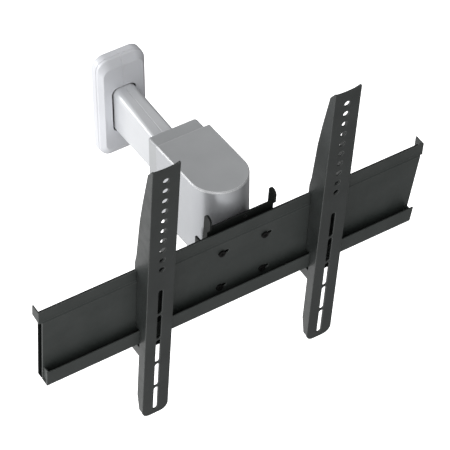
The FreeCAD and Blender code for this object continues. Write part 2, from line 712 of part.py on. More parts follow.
def base_screws():
    screws = []
    for across, along in boss_places():
        shank = cylinder(s.base_screw_radius, s.base_screw_length,
                         (across, along, s.housing_bottom))
        head = cylinder(s.base_screw_head, s.base_screw_rise,
                        (across, along, s.housing_bottom - s.base_screw_rise))
        screws.append(fused(shank, head))
    node(group(screws), "base_screws")


# ------------------------------------------------------------------------------------ head swivel

yoke_plate_top = s.housing_bottom - s.swivel_flange - s.shaft_gap - s.shaft_flange
yoke_bottom = yoke_plate_top - s.yoke_plate


def swivel_bushes():
    upper = flanged_bush(s.tube_bore, s.shaft_bore, s.swivel_bush_length, s.swivel_flange_radius,
                         s.swivel_flange, (0, swivel_y, s.tube_top), True)
    lower = flanged_bush(s.tube_bore, s.shaft_bore, s.swivel_bush_length, s.swivel_flange_radius,
                         s.swivel_flange, (0, swivel_y, s.housing_bottom), False)
    node(group([upper, lower]), "swivel_bushes")


def swivel_shaft():
    """A turned shaft with a bolt flange at its foot."""
    body = new_body("swivel_shaft")
    profile = sketch_on(body, "XZ_Plane", "shaft_profile", s.swivel_reach)
    foot = yoke_plate_top
    polygon(profile, [(0, foot), (s.shaft_flange_radius, foot),
                      (s.shaft_flange_radius, foot + s.shaft_flange),
                      (s.shaft_radius, foot + s.shaft_flange),
                      (s.shaft_radius, s.shaft_top), (0, s.shaft_top)])
    turned = body.newObject("PartDesign::Revolution", "shaft_turned")
    turned.Profile = profile
    turned.ReferenceAxis = (profile, ["V_Axis"])
    turned.Angle = 360
    hole = sketch_on(body, "XY_Plane", "shaft_bolt_holes", foot)
    for x, y in yoke_bolt_places():
        circle(hole, x, y, s.yoke_bolt_hole)
    pocket(body, hole, s.shaft_flange, True)
    node(body, "swivel_shaft")


def yoke_bolt_places():
    near = s.yoke_bolt_circle * 0.7071
    return [(near * x, swivel_y + near * y) for x in (-1, 1) for y in (-1, 1)]


def swivel_fasteners():
    low = s.tube_top + s.swivel_flange + s.disc_gap
    discs = []
    for count in range(2):
        at = (0, swivel_y, low + (s.disc_thickness + s.disc_gap) * count)
        discs.append(washer(s.disc_radius, s.disc_bore, s.disc_thickness, at))
    node(group(discs), "swivel_disc_springs")
    nut_low = low + (s.disc_thickness + s.disc_gap) * 2
    node(nut(s.swivel_nut_radius, s.shaft_bore, s.swivel_nut_height, (0, swivel_y, nut_low)),
         "swivel_nut")
    screws = []
    for x, y in yoke_bolt_places():
        shank = cylinder(s.yoke_bolt_radius, s.yoke_plate + s.shaft_flange * 0.9,
                         (x, y, yoke_bottom))
        head = cylinder(s.yoke_bolt_head, s.yoke_bolt_head_height,
                        (x, y, yoke_bottom - s.yoke_bolt_head_height))
        screws.append(fused(shank, head))
    node(group(screws), "yoke_screws")


def swivel_yoke():
    """A folded steel yoke under the housing with an upright ear on each side."""
    body = new_body("swivel_yoke")
    half, sheet = s.yoke_half_width, s.yoke_sheet
    plate = sketch_on(body, "XY_Plane", "yoke_plate", yoke_bottom)
    narrow = s.yoke_rear_half_width
    polygon(plate, [(-narrow, -s.yoke_rear), (narrow, -s.yoke_rear), (half, -s.yoke_ear_rear),
                    (half, -s.yoke_plate_front), (-half, -s.yoke_plate_front),
                    (-half, -s.yoke_ear_rear)])
    pad(body, plate, s.yoke_plate)
    for name, low in (("left", -half), ("right", half - sheet)):
        ear = sketch_on(body, "YZ_Plane", "yoke_ear_" + name, low)
        polygon(ear, [(-s.yoke_ear_rear, yoke_bottom), (-s.yoke_front, yoke_bottom),
                      (-s.yoke_front, s.yoke_ear_top), (-s.yoke_ear_rear, s.yoke_ear_top)])
        pad(body, ear, sheet)
    holes = sketch_on(body, "YZ_Plane", "yoke_tilt_holes", -half)
    circle(holes, -s.tilt_reach, s.tilt_height, s.tilt_bore)
    circle(holes, -s.tilt_reach, s.tilt_height + s.lock_rise, s.lock_bore)
    pocket(body, holes, half * 2, True)
    bolts = sketch_on(body, "XY_Plane", "yoke_bolt_holes", yoke_bottom)
    for x, y in yoke_bolt_places():
        circle(bolts, x, y, s.yoke_bolt_hole)
    pocket(body, bolts, s.yoke_plate, True)
    node(body, "swivel_yoke")


def both_sides(make):
    """Build one piece on each side of the tilt joint."""
    return group([make(1), make(-1)])


def crosswise(builder, inner, length, y, z, side, *sizes):
    """A round or hexagonal piece along X that starts at the distance inner from the centre."""
    start = inner if side > 0 else -inner - length
    return builder(*sizes, length, (start, y, z), "X")


def tilt_fasteners():
    """Pivot and lock bolts with their washers and nuts, all held by the yoke."""
    y, z = -s.tilt_reach, s.tilt_height
    inner = s.yoke_half_width - s.yoke_sheet
    washer_in = s.yoke_half_width + s.tilt_gap
    washer_out = s.bracket_half_width + s.tilt_gap
    nut_in = washer_out + s.tilt_washer + s.tilt_gap
    end = nut_in + s.tilt_nut_height + s.tilt_bolt_end

    def bolt(side, low, radius, head):
        shank = crosswise(cylinder, inner, end - inner, y, low, side, radius)
        cap = crosswise(cylinder, inner - s.tilt_bolt_head_height, s.tilt_bolt_head_height,
                        y, low, side, head)
        return fused(shank, cap)

    lock_z = z + s.lock_rise
    node(both_sides(lambda side: bolt(side, z, s.tilt_bolt_radius, s.tilt_bolt_head)),
         "tilt_pivot_bolts")
    node(both_sides(lambda side: bolt(side, lock_z, s.lock_bolt_radius, s.lock_bolt_head)),
         "tilt_lock_bolts")
    node(both_sides(lambda side: crosswise(washer, washer_in, s.tilt_washer, y, z, side,
                                           s.tilt_washer_radius, s.tilt_bore)),
         "tilt_friction_washers")
    node(both_sides(lambda side: crosswise(nut, nut_in, s.tilt_nut_height, y, z, side,
                                           s.tilt_nut_radius, s.tilt_bore)),
         "tilt_pivot_nuts")
    node(both_sides(lambda side: crosswise(nut, nut_in, s.tilt_nut_height, y, lock_z, side,
                                           s.lock_nut_radius, s.lock_bore)),
         "tilt_lock_nuts")


# ------------------------------------------------------------- parts that tilt with the television
# Each is drawn upright about the tilt axis and then placed: Y runs backwards from the axis, so the
# rail's front face is at Y = -face_depth, and Z = 0 is the height of the axis.

def tilted(thing, label, across=0):
    """Place a piece at the tilt axis, leaning forward by the tilt at rest."""
    across = sized(across)
    thing.Placement = Placement(Vector(across.value, -s.tilt_reach.value, s.tilt_height.value),
                                Rotation(Vector(1, 0, 0), s.tilt.value))
    bind(thing, "Placement.Base.x", across)
    bind(thing, "Placement.Base.y", -s.tilt_reach)
    bind(thing, "Placement.Base.z", s.tilt_height)
    bind(thing, "Placement.Rotation.Angle", s.tilt)
    return node(thing, label)


face_y = -s.face_depth
bracket_front = face_y + s.back_depth
bracket_back = bracket_front + s.bracket_sheet


def tilt_bracket():
    """A folded channel: a web bolted to the rail and two ears with round finger tops."""
    body = new_body("tilt_bracket")
    half = s.bracket_half_width
    web = sketch_on(body, "XZ_Plane", "bracket_web", -bracket_back)
    polygon(web, [(-half, s.bracket_bottom), (half, s.bracket_bottom),
                  (half, s.bracket_top), (-half, s.bracket_top)])
    pad(body, web, s.bracket_sheet)
    finger_z = s.finger_top - s.finger_radius
    finger_front = s.finger_y - s.finger_radius
    finger_back = s.finger_y + s.finger_radius
    for name, low in (("left", -half), ("right", half - s.bracket_sheet)):
        ear = sketch_on(body, "YZ_Plane", "bracket_ear_" + name, low)
        polygon(ear, [(bracket_front, s.bracket_bottom), (s.ear_foot, s.bracket_bottom),
                      (s.ear_back, s.ear_low), (s.ear_back, s.ear_shoulder),
                      (finger_back, s.ear_waist), (finger_back, finger_z),
                      (finger_front, finger_z), (finger_front, s.finger_foot + s.finger_rise),
                      (bracket_front, s.finger_foot)])
        pad(body, ear, s.bracket_sheet)
        finger = sketch_on(body, "YZ_Plane", "bracket_finger_" + name, low)
        circle(finger, s.finger_y, finger_z, s.finger_radius)
        pad(body, finger, s.bracket_sheet)
    pivot = sketch_on(body, "YZ_Plane", "bracket_pivot", -half)
    circle(pivot, 0, 0, s.tilt_bore)
    pocket(body, pivot, half * 2, True)
    slot = sketch_on(body, "YZ_Plane", "bracket_slot", -half)
    obround(slot, s.lock_slot_shift, s.lock_slot_rise, s.lock_slot_half_width,
            s.lock_slot_half_travel, False)
    pocket(body, slot, half * 2, True)
    sight = sketch_on(body, "XZ_Plane", "bracket_sight_hole", -bracket_back)
    circle(sight, s.sight_hole_x, s.sight_hole_z, s.sight_hole_radius)
    pocket(body, sight, s.bracket_sheet, True)
    bolt_holes(body, "bracket", -bracket_back, s.bracket_sheet, 0, 0)
    tilted(body, "tilt_bracket")


def bolt_holes(body, name, offset, depth, across, slot):
    """The four rail bolt holes through one sheet, round or drawn out to a slot towards +X."""
    hole = sketch_on(body, "XZ_Plane", name + "_bolt_hole", offset)
    x = sized(across) - s.bolt_across / 2
    if sized(slot).value:
        obround(hole, x + slot / 2, -s.bolt_up / 2, s.rail_bolt_hole, slot / 2, False)
    else:
        circle(hole, x, -s.bolt_up / 2, s.rail_bolt_hole)
    first = pocket(body, hole, depth, True)
    row_of(body, first, hole, [("H_Axis", s.bolt_across, 2), ("V_Axis", s.bolt_up, 2)])


def slanted_ends(body, name, offset, depth, high, wide, low, low_left, low_right):
    """Trim both ends of a sheet from wide at the height high to their own widths at low."""
    trim = sketch_on(body, "XZ_Plane", name + "_ends", offset)
    beyond = s.rail_half_width + s.end_cut
    for side, narrow in ((-1, low_left), (1, low_right)):
        polygon(trim, [(wide * side, high), (beyond * side, high),
                       (beyond * side, low), (narrow * side, low)])
    pocket(body, trim, depth, True)


def rail_face():
    """The front sheet of the rail: joggled top band, face and turned-up bottom lip."""
    body = new_body("rail_face")
    half, sheet = s.rail_half_width, s.rail_sheet
    profile = sketch_on(body, "YZ_Plane", "rail_profile", -half)
    band = face_y + sheet
    lip = face_y - s.lip_reach
    rise = s.joggle_rise
    polygon(profile, [
        (band, s.rail_top), (band, s.rail_joggle + rise / 2), (face_y, s.rail_joggle - rise / 2),
        (face_y, s.rail_bottom + sheet), (lip + sheet, s.rail_bottom + sheet),
        (lip + sheet, s.lip_top), (lip, s.lip_top), (lip, s.rail_bottom),
        (band, s.rail_bottom), (band, s.rail_joggle - rise), (band + sheet, s.rail_joggle),
        (band + sheet, s.rail_top)])
    pad(body, profile, half * 2)
    slanted_ends(body, "rail", -face_y - s.end_cut, s.end_cut * 2, s.rail_joggle,
                 s.rail_face_half_width, s.rail_bottom - sheet, s.rail_low_left,
                 s.rail_low_right)
    for name, low in (("left", -half), ("right", half - sheet)):
        tab = sketch_on(body, "YZ_Plane", "rail_tab_" + name, low)
        polygon(tab, [(band, s.rail_joggle), (face_y + s.tab_depth, s.rail_joggle + rise),
                      (face_y + s.tab_depth, s.rail_top), (band, s.rail_top)])
        pad(body, tab, sheet)
    for name, low in (("left", s.lip_end_inset - s.rail_low_left),
                      ("right", s.rail_low_right - s.lip_end_inset - sheet)):
        stop = sketch_on(body, "YZ_Plane", "lip_end_" + name, low)
        polygon(stop, [(face_y + sheet / 2, s.rail_bottom + sheet / 2),
                       (lip + sheet / 2, s.rail_bottom + sheet / 2),
                       (lip + sheet / 2, s.lip_top), (face_y + sheet / 2, s.lip_top - sheet)])
        pad(body, stop, sheet)
    bolt_holes(body, "rail_face", -band, sheet, -s.rail_shift, s.rail_slot)
    tilted(body, "rail_face", s.rail_shift)


def rail_back():
    """The stiffener behind the face, open at the top for the uprights' hooks."""
    body = new_body("rail_back")
    half, sheet = s.back_half_width, s.rail_sheet
    back = bracket_front
    profile = sketch_on(body, "YZ_Plane", "rail_back_profile", -half)
    polygon(profile, [
        (back, s.back_top), (back - sheet, s.back_top), (back - sheet, s.back_bottom + sheet),
        (face_y + sheet, s.back_bottom + sheet), (face_y + sheet, s.back_bottom),
        (back, s.back_bottom)])
    pad(body, profile, half * 2)
    slanted_ends(body, "rail_back", -back - s.end_cut, s.end_cut * 2, s.back_top + sheet, half,
                 s.back_bottom - sheet, s.back_low_left, s.back_low_right)
    bolt_holes(body, "rail_back", -back, sheet, -s.rail_shift, 0)
    tilted(body, "rail_back", s.rail_shift)


def at_rail_bolts(make):
    """One piece at each of the four rail bolts."""
    places = []
    for x in (-s.bolt_across / 2, s.bolt_across / 2):
        for z in (-s.bolt_up / 2, s.bolt_up / 2):
            places.append(make(x, z))
    return group(places)


def rail_fasteners():
    nut_back = bracket_back + s.rail_nut_height

    def bolt(x, z):
        shank_length = nut_back - face_y
        shank = cylinder(s.rail_bolt_radius, shank_length, (x, nut_back, z), "Y")
        head = cylinder(s.rail_bolt_head, s.rail_bolt_head_height, (x, face_y, z), "Y")
        drive = hexagon(s.drive_radius, s.drive_depth,
                        (x, face_y - s.rail_bolt_head_height + s.drive_depth, z), "Y")
        return cut(fused(shank, head), drive)

    tilted(at_rail_bolts(bolt), "rail_bolts")
    tilted(at_rail_bolts(lambda x, z: nut(s.rail_nut_radius, s.rail_bolt_radius,
                                          s.rail_nut_height, (x, nut_back, z), "Y")),
           "rail_nuts")
    gap = s.back_depth - s.rail_sheet * 2 - s.spacer_clear * 2
    spacer_back = bracket_front - s.rail_sheet - s.spacer_clear
    tilted(at_rail_bolts(lambda x, z: washer(s.spacer_radius, s.rail_bolt_hole, gap,
                                             (x, spacer_back, z), "Y")),
           "rail_spacers")


def upright_wing(body, name, low):
    """One side flange: shallow at the top, hooked over the rail and tailed beneath it."""
    front = face_y - s.upright_reach
    gap = s.upright_gap
    hook_front = face_y + s.rail_sheet * 2 + gap
    hook_back = hook_front + s.hook_reach
    lip_front = face_y - s.lip_reach - gap
    wing = sketch_on(body, "YZ_Plane", name, low)
    polygon(wing, [
        (front, s.upright_top), (front + 3, s.upright_top), (front + 11, s.upright_top - 12),
        (front + 21, s.upright_top - 75), (front + 26, s.upright_top - 113),
        (front + 31, s.upright_top - 184), (hook_back, s.upright_top - 200),
        (hook_back, s.hook_low), (hook_front, s.hook_low), (hook_front, s.rail_top + gap),
        (face_y - gap, s.rail_top + gap), (face_y - gap, s.lip_top + gap * 2),
        (lip_front, s.lip_top + gap * 2), (lip_front, s.tail_top),
        (face_y + s.tail_reach, s.tail_top), (face_y + s.tail_reach, s.tail_bottom),
        (front + 15, s.tail_bottom), (front + 15, s.tail_bottom - 85),
        (front + 9, s.upright_bottom + 12), (front, s.upright_bottom + 12)])
    pad(body, wing, s.upright_sheet)


def upright(label, across):
    """A television upright: a channel with round holes above and slots below."""
    body = new_body(label)
    half, sheet = s.upright_half_width, s.upright_sheet
    back = s.face_depth + s.upright_reach - sheet
    face = sketch_on(body, "XZ_Plane", label + "_face", back)
    rounded_rectangle(face, -half, s.upright_bottom, half, s.upright_top + s.upright_corner * 2,
                      s.upright_corner)
    pad(body, face, sheet)
    crown = sketch_on(body, "XZ_Plane", label + "_crown", back)
    crown_arc(crown, half, s.upright_top, s.upright_dip)
    pocket(body, crown, sheet, True)
    upright_wing(body, label + "_left_wing", -half)
    upright_wing(body, label + "_right_wing", half - sheet)
    hole = sketch_on(body, "XZ_Plane", label + "_hole", back)
    circle(hole, 0, s.hole_top, s.hole_radius)
    first_hole = pocket(body, hole, sheet, True)
    holes = row_of(body, first_hole, hole,
                   [("V_Axis", s.hole_pitch * (s.hole_count - 1), s.hole_count)])
    holes.Reversed = True
    slot = sketch_on(body, "XZ_Plane", label + "_slot", back)
    half_slot = s.slot_length / 2
    obround(slot, 0, s.slot_top - half_slot, s.slot_half_width, half_slot - s.slot_half_width, True)
    first_slot = pocket(body, slot, sheet, True)
    slots = row_of(body, first_slot, slot,
                   [("V_Axis", s.slot_pitch * (s.slot_count - 1), s.slot_count)])
    slots.Reversed = True
    tilted(body, label, across)


def crown_arc(sketch, half, top, dip):
    """The waste above an upright's hollow top edge, which dips by dip at its middle."""
    half, top, dip = half.value, sized(top), sized(dip)
    beyond = half + 2
    high = top.value + 40
    left, right = Vector(-half, top.value, 0), Vector(half, top.value, 0)
    middle = Vector(0, top.value - dip.value, 0)
    parts = [
        Part.Arc(left, middle, right),
        Part.LineSegment(right, Vector(beyond, top.value, 0)),
        Part.LineSegment(Vector(beyond, top.value, 0), Vector(beyond, high, 0)),
        Part.LineSegment(Vector(beyond, high, 0), Vector(-beyond, high, 0)),
        Part.LineSegment(Vector(-beyond, high, 0), Vector(-beyond, top.value, 0)),
        Part.LineSegment(Vector(-beyond, top.value, 0), left),
    ]
    sketch.addGeometry(parts, False)
    width = s.upright_half_width
    sketch.addConstraint([
        Sketcher.Constraint("Coincident", 0, 2, 1, 1),
        Sketcher.Constraint("Coincident", 1, 2, 2, 1),
        Sketcher.Constraint("Coincident", 2, 2, 3, 1),
        Sketcher.Constraint("Coincident", 3, 2, 4, 1),
        Sketcher.Constraint("Coincident", 4, 2, 5, 1),
        Sketcher.Constraint("Coincident", 5, 2, 0, 1),
    ])
    hold_point(sketch, 1, 1, width, top)
    hold_point(sketch, 1, 2, width + 2, top)
    hold_point(sketch, 2, 2, width + 2, top + 40)
    hold_point(sketch, 3, 2, -width - 2, top + 40)
    hold_point(sketch, 4, 2, -width - 2, top)
    hold_point(sketch, 5, 2, -width, top)
    radius = (width * width + dip * dip) / (dip * 2)
    hold(sketch, "Radius", radius, 0)


def upright_lock(side_name, across):
    """The cross plate between the tails and the screw that locks it under the rail."""
    inside = s.upright_half_width - s.upright_sheet
    plate_y = face_y + s.tail_reach - s.lip_reach * 2
    plate_top = s.tail_top - s.lock_plate / 2
    plate = block(inside * 2, s.lip_reach * 2, s.lock_plate,
                  (-inside, plate_y, plate_top - s.lock_plate))
    screw_y = face_y + s.rail_sheet / 2 - s.lip_reach / 2
    bore = cylinder(s.lock_screw_bore, s.lock_plate, (0, screw_y, plate_top - s.lock_plate))
    tilted(cut(plate, bore), "lock_plate_" + side_name, across)
    tip = s.rail_bottom - s.upright_gap
    shank = cylinder(s.lock_screw_radius, tip + s.lock_screw_drop,
                     (0, screw_y, -s.lock_screw_drop))
    head = cylinder(s.lock_screw_head, s.lock_screw_head_height,
                    (0, screw_y, -s.lock_screw_drop - s.lock_screw_head_height))
    tilted(fused(shank, head), "lock_screw_" + side_name, across)


# ------------------------------------------------------------------------------------- the assembly

def build():
    wall_plate()
    wall_hinge()
    cover_clips()
    wall_cover("wall_cover_left", -1)
    wall_cover("wall_cover_right", 1)
    arm_beam()
    arm_bushes()
    arm_shell("arm_shell_left", -1)
    arm_shell("arm_shell_right", 1)
    arm_spacers()
    arm_collar()
    housing_shell()
    housing_top_cap()
    housing_base_cover()
    base_screws()
    swivel_bushes()
    swivel_shaft()
    swivel_fasteners()
    swivel_yoke()
    tilt_fasteners()
    tilt_bracket()
    rail_face()
    rail_back()
    rail_fasteners()
    upright("upright_left", s.upright_left_x)
    upright("upright_right", s.upright_right_x)
    upright_lock("left", s.upright_left_x)
    upright_lock("right", s.upright_right_x)


def problems():
    """What is wrong with the document, in words."""
    found = []
    for item in doc.Objects:
        if any(state in ("Invalid", "Error") for state in item.State):
            found.append("%s (%s) is %s" % (item.Name, item.Label, item.State))
    for item in nodes:
        if item.Shape.isNull() or not item.Shape.isValid() or not item.Shape.Solids:
            found.append("%s has no valid solid" % item.Label)
    return found


def write():
    os.makedirs("parts", exist_ok=True)
    for item in nodes:
        item.Shape.exportStep(os.path.join("parts", item.Label + ".step"))
        box = item.Shape.BoundBox
        print("%-24s solids %d  volume %9.0f  x %7.1f %7.1f  y %7.1f %7.1f  z %7.1f %7.1f" % (
            item.Label, len(item.Shape.Solids), item.Shape.Volume,
            box.XMin, box.XMax, box.YMin, box.YMax, box.ZMin, box.ZMax))


build()
doc.recompute()
found = problems()
if found:
    raise SystemExit("\n".join(found))
write()
print(len(nodes), "nodes")
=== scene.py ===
import math

import bpy
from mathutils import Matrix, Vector

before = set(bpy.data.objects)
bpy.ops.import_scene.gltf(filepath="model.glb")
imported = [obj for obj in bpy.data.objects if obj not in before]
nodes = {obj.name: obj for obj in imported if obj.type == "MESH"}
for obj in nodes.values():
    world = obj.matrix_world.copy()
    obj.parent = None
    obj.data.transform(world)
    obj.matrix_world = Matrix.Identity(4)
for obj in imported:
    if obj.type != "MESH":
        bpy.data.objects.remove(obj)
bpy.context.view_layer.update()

# Full motion wall mount for a television: finishes, camera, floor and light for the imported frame.
# The wall is the plane Y = 0, the mount stands out towards -Y and Z is up. Lengths are in metres,
# angles in degrees, light powers in watts.

CAMERA_PLACE = (-1.3012, -2.3144, 2.2457)
CAMERA_DOWN = 43.336            # below the horizontal
CAMERA_TURN = -32.725           # about Z, from looking along +Y
LENS_MM = 192.0
SENSOR_MM = 36.0
CAMERA_REACH = 30.0

FLOOR_HALF = 9.0
FLOOR_HEIGHT = -1.3

SKY_STRENGTH = 1.25
# (position from -X to +X, brightness) and (position from straight down to straight up, brightness)
SKY_SIDEWAYS = [(0.0, 1.08), (0.3, 1.0), (0.5, 0.62), (0.7, 0.27), (1.0, 0.12)]
SKY_UPWARDS = [(0.5, 1.02), (0.8, 0.88)]

# Colours and widths of the highlights painted along edges: pale on the black powder coat, near
# white on the silver lacquer.
PALE_EDGE_HIGHLIGHT = (0.15, 0.158, 0.155)
BRIGHT_EDGE_HIGHLIGHT = (0.96, 0.96, 0.97)
STEEL_EDGE_HIGHLIGHT_RADIUS = 0.0011
LACQUER_EDGE_HIGHLIGHT_RADIUS = 0.0014
# Cosine between a face and its softened normal where the painted edge highlight starts and where it
# is full.
EDGE_HIGHLIGHT_START = 0.995
EDGE_HIGHLIGHT_FULL = 0.9
NOISE_ROUGHNESS = 0.55
# The part of its 0 to 1 range that a noise mostly fills.
NOISE_LOW = 0.3
NOISE_HIGH = 0.7


# ----------------------------------------------------------------------------------------- helpers

def new_material(name):
    """A node material and its Principled shader."""
    material = bpy.data.materials.new(name)
    material.use_nodes = True
    shader = material.node_tree.nodes["Principled BSDF"]
    return material, shader


def node(material, kind, inputs=None, **settings):
    """Add one node with its settings, and values or links for its inputs."""
    item = material.node_tree.nodes.new(kind)
    for name, value in settings.items():
        setattr(item, name, value)
    for name, value in (inputs or {}).items():
        if isinstance(value, bpy.types.NodeSocket):
            material.node_tree.links.new(value, item.inputs[name])
        else:
            item.inputs[name].default_value = value
    return item


def link(material, output, shader, name):
    """Drive the shader's named input with a node's output."""
    material.node_tree.links.new(output, shader.inputs[name])


def place(material):
    """Coordinates that stay with each object's own mesh, in metres."""
    return node(material, "ShaderNodeTexCoord").outputs["Object"]


def noise(material, scale, detail=4.0, stretch=None):
    """A noise value between 0 and 1, scale in repeats per metre."""
    where = place(material)
    if stretch:
        where = node(material, "ShaderNodeMapping", {"Vector": where, "Scale": stretch}).outputs[0]
    made = node(material, "ShaderNodeTexNoise", {"Vector": where, "Scale": scale,
                                                 "Detail": detail, "Roughness": NOISE_ROUGHNESS})
    return made.outputs["Fac"]


def ramp(material, value, stops):
    """A colour ramp; stops is [(position, (r, g, b)), ...]."""
    made = node(material, "ShaderNodeValToRGB", {"Fac": value})
    elements = made.color_ramp.elements
    while len(elements) < len(stops):
        elements.new(0.5)
    for element, (position, colour) in zip(elements, stops):
        element.position = position
        element.color = (*colour, 1.0)
    return made.outputs["Color"]


def spread(material, value, low, high):
    """A noise value mapped to the range low to high."""
    return node(material, "ShaderNodeMapRange",
                {"Value": value, "From Min": NOISE_LOW, "From Max": NOISE_HIGH,
                 "To Min": low, "To Max": high}).outputs[0]


def painted_edge_highlight(material, radius, strength):
    """Mask for a painted edge highlight: 0 on flat surfaces, rising to strength along edges
    narrower than radius.
    """
    bevel = node(material, "ShaderNodeBevel", {"Radius": radius}, samples=4)
    shape = node(material, "ShaderNodeNewGeometry")
    facing = node(material, "ShaderNodeVectorMath",
                  {0: bevel.outputs["Normal"], 1: shape.outputs["Normal"]},
                  operation="DOT_PRODUCT").outputs["Value"]
    return node(material, "ShaderNodeMapRange",
                {"Value": facing, "From Min": EDGE_HIGHLIGHT_START, "From Max": EDGE_HIGHLIGHT_FULL,
                 "To Min": 0.0, "To Max": strength}).outputs[0]


def bump(material, shader, height, distance, strength, rounding=0.0):
    """Fine relief in the shading; rounding softens the shading of edges up to that radius."""
    inputs = {"Height": height, "Distance": distance, "Strength": strength}
    if rounding:
        soft = node(material, "ShaderNodeBevel", {"Radius": rounding}, samples=6)
        inputs["Normal"] = soft.outputs["Normal"]
    made = node(material, "ShaderNodeBump", inputs)
    link(material, made.outputs["Normal"], shader, "Normal")


def mix(material, amount, first, second, blend_type="MIX"):
    """Two colours blended; each input may be a value or a node's output."""
    made = node(material, "ShaderNodeMix", data_type="RGBA", blend_type=blend_type)
    for socket, value in (("Factor", amount), ("A", first), ("B", second)):
        target = [item for item in made.inputs
                  if item.name == socket and (item.type == "RGBA" or socket == "Factor")][0]
        if isinstance(value, bpy.types.NodeSocket):
            material.node_tree.links.new(value, target)
        else:
            target.default_value = value
    return [item for item in made.outputs if item.type == "RGBA"][0]


# --------------------------------------------------------------------------------------- materials

def powder_coat(name, dark, light, roughness, edge_light, gloss=0.5, rounding=0.0007):
    """Black powder coat on steel: orange-peel bumps, faint mottling and thin pale edges painted on
    as highlights in the edge_light colour.
    """
    material, shader = new_material(name)
    mottled = ramp(material, noise(material, 18.0, 5.0),
                   [(0.35, dark), (0.65, light)])
    specks = noise(material, 900.0, 2.0)
    speckled = mix(material, spread(material, specks, 0.0, 0.35), mottled, (*light, 1.0))
    # Painted highlight: edges lightened towards the edge_light colour.
    edge_highlight_mask = painted_edge_highlight(material, STEEL_EDGE_HIGHLIGHT_RADIUS, 0.55)
    link(material, mix(material, edge_highlight_mask, speckled, (*edge_light, 1.0)), shader, "Base Color")
    rough = spread(material, noise(material, 60.0, 3.0), roughness - 0.05, roughness + 0.07)
    link(material, rough, shader, "Roughness")
    shader.inputs["Specular IOR Level"].default_value = gloss
    bump(material, shader, noise(material, 1300.0, 3.0), 0.00012, 0.55, rounding=rounding)
    return material


def silver_paint(name, dark, light, roughness, metallic, rounding=0.0012, rim_highlight=0.0):
    """Silver lacquer on moulded plastic: fine metal flakes, faint flow marks, and soft bright edges
    painted on as highlights.
    """
    material, shader = new_material(name)
    cloud = ramp(material, noise(material, 9.0, 4.0), [(0.3, dark), (0.7, light)])
    flakes = node(material, "ShaderNodeTexVoronoi", {"Vector": place(material), "Scale": 2600.0})
    glint = ramp(material, flakes.outputs["Distance"],
                 [(0.0, (1.0, 1.0, 1.0)), (0.45, (0.72, 0.73, 0.74))])
    colour = mix(material, 0.35, cloud, glint, "MULTIPLY")
    if rim_highlight:
        # Painted highlight: edges lightened towards near white.
        edge_highlight_mask = painted_edge_highlight(material, LACQUER_EDGE_HIGHLIGHT_RADIUS, rim_highlight)
        colour = mix(material, edge_highlight_mask, colour, (*BRIGHT_EDGE_HIGHLIGHT, 1.0))
    link(material, colour, shader, "Base Color")
    shader.inputs["Metallic"].default_value = metallic
    rough = spread(material, noise(material, 35.0, 4.0), roughness - 0.03, roughness + 0.04)
    link(material, rough, shader, "Roughness")
    shader.inputs["Coat Weight"].default_value = 0.15
    shader.inputs["Coat Roughness"].default_value = 0.25
    bump(material, shader, noise(material, 700.0, 3.0), 0.00008, 0.25, rounding=rounding)
    return material


def bare_metal(name, dark, light, roughness):
    """Zinc plate: faint spangle and turning marks."""
    material, shader = new_material(name)
    spangle = node(material, "ShaderNodeTexVoronoi", {"Vector": place(material), "Scale": 500.0})
    patches = ramp(material, spangle.outputs["Distance"], [(0.1, dark), (0.6, light)])
    clouded = mix(material, spread(material, noise(material, 150.0), 0.0, 0.5),
                  patches, (*light, 1.0))
    link(material, clouded, shader, "Base Color")
    shader.inputs["Metallic"].default_value = 1.0
    link(material, spread(material, noise(material, 400.0), roughness - 0.08, roughness + 0.08),
         shader, "Roughness")
    marks = noise(material, 900.0, 2.0, stretch=(1.0, 1.0, 8.0))
    bump(material, shader, marks, 0.00005, 0.5, rounding=0.0004)
    return material


def nylon(name, dark, light):
    """Moulded nylon: matt, faintly mottled, with a fine grain."""
    material, shader = new_material(name)
    link(material, ramp(material, noise(material, 120.0), [(0.3, dark), (0.7, light)]),
         shader, "Base Color")
    link(material, spread(material, noise(material, 300.0), 0.5, 0.7), shader, "Roughness")
    bump(material, shader, noise(material, 2200.0, 3.0), 0.00006, 0.5, rounding=0.0004)
    return material


rail_black = powder_coat("rail_powder_coat", (0.024, 0.029, 0.027), (0.034, 0.039, 0.037), 0.50,
                         PALE_EDGE_HIGHLIGHT, rounding=0.0018)
upright_black = powder_coat("upright_powder_coat", (0.020, 0.023, 0.022), (0.029, 0.033, 0.032),
                            0.42, PALE_EDGE_HIGHLIGHT, rounding=0.0022)
frame_black = powder_coat("frame_powder_coat", (0.006, 0.007, 0.007), (0.011, 0.013, 0.012), 0.50,
                          (0.03, 0.03, 0.03), gloss=0.12)
bolt_black = powder_coat("black_oxide", (0.003, 0.003, 0.003), (0.006, 0.006, 0.006), 0.45,
                         (0.02, 0.02, 0.02), gloss=0.08)
# The silver finishes given a rim value carry a painted highlight along their edges.
cover_silver = silver_paint("cover_silver_lacquer", (0.71, 0.72, 0.75), (0.80, 0.81, 0.85),
                            0.36, 0.15, rim_highlight=0.4)
shell_silver = silver_paint("shell_silver_lacquer", (0.66, 0.67, 0.69), (0.75, 0.76, 0.78),
                            0.33, 0.3, rim_highlight=0.5)
housing_silver = silver_paint("housing_silver_lacquer", (0.48, 0.49, 0.51), (0.54, 0.55, 0.57),
                              0.32, 0.5)
cap_silver = silver_paint("cap_silver_lacquer", (0.45, 0.46, 0.47), (0.51, 0.52, 0.53),
                          0.38, 0.3, rounding=0.0009, rim_highlight=1.0)
collar_grey = silver_paint("collar_grey_lacquer", (0.42, 0.43, 0.44), (0.48, 0.49, 0.50),
                           0.38, 0.3)
zinc = bare_metal("zinc_plate", (0.50, 0.50, 0.48), (0.68, 0.68, 0.66), 0.34)
black_nylon = nylon("black_nylon", (0.02, 0.02, 0.02), (0.04, 0.04, 0.04))

